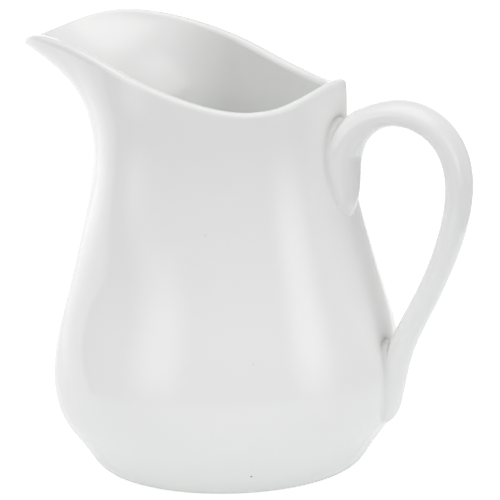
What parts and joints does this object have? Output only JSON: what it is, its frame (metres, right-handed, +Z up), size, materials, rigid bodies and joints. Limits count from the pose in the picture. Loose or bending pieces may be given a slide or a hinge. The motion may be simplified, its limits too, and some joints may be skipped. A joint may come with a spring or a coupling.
{
  "type": "sauce jug",
  "caption": "Pear-shaped glazed porcelain jug with a saddle-shaped rim, a broad drawn spout and a looped strap handle, for serving and pouring sauce, cream or gravy.",
  "frame": {"origin": "on the axis of the round body, in the plane of the foot ring's standing face", "axes": "+Z up out of the mouth, spout towards -X, handle towards +X, +X the longest extent, Y across the jug"},
  "size_m": [0.1286, 0.0978, 0.1219],
  "materials": {
    "glazed_porcelain": "white feldspathic porcelain under a clear high-gloss glaze",
    "bare_porcelain": "unglazed matt biscuit on the standing face of the foot ring"
  },
  "bodies": {
    "root": {"jug": "glazed_porcelain"}
  },
  "joints": []
}
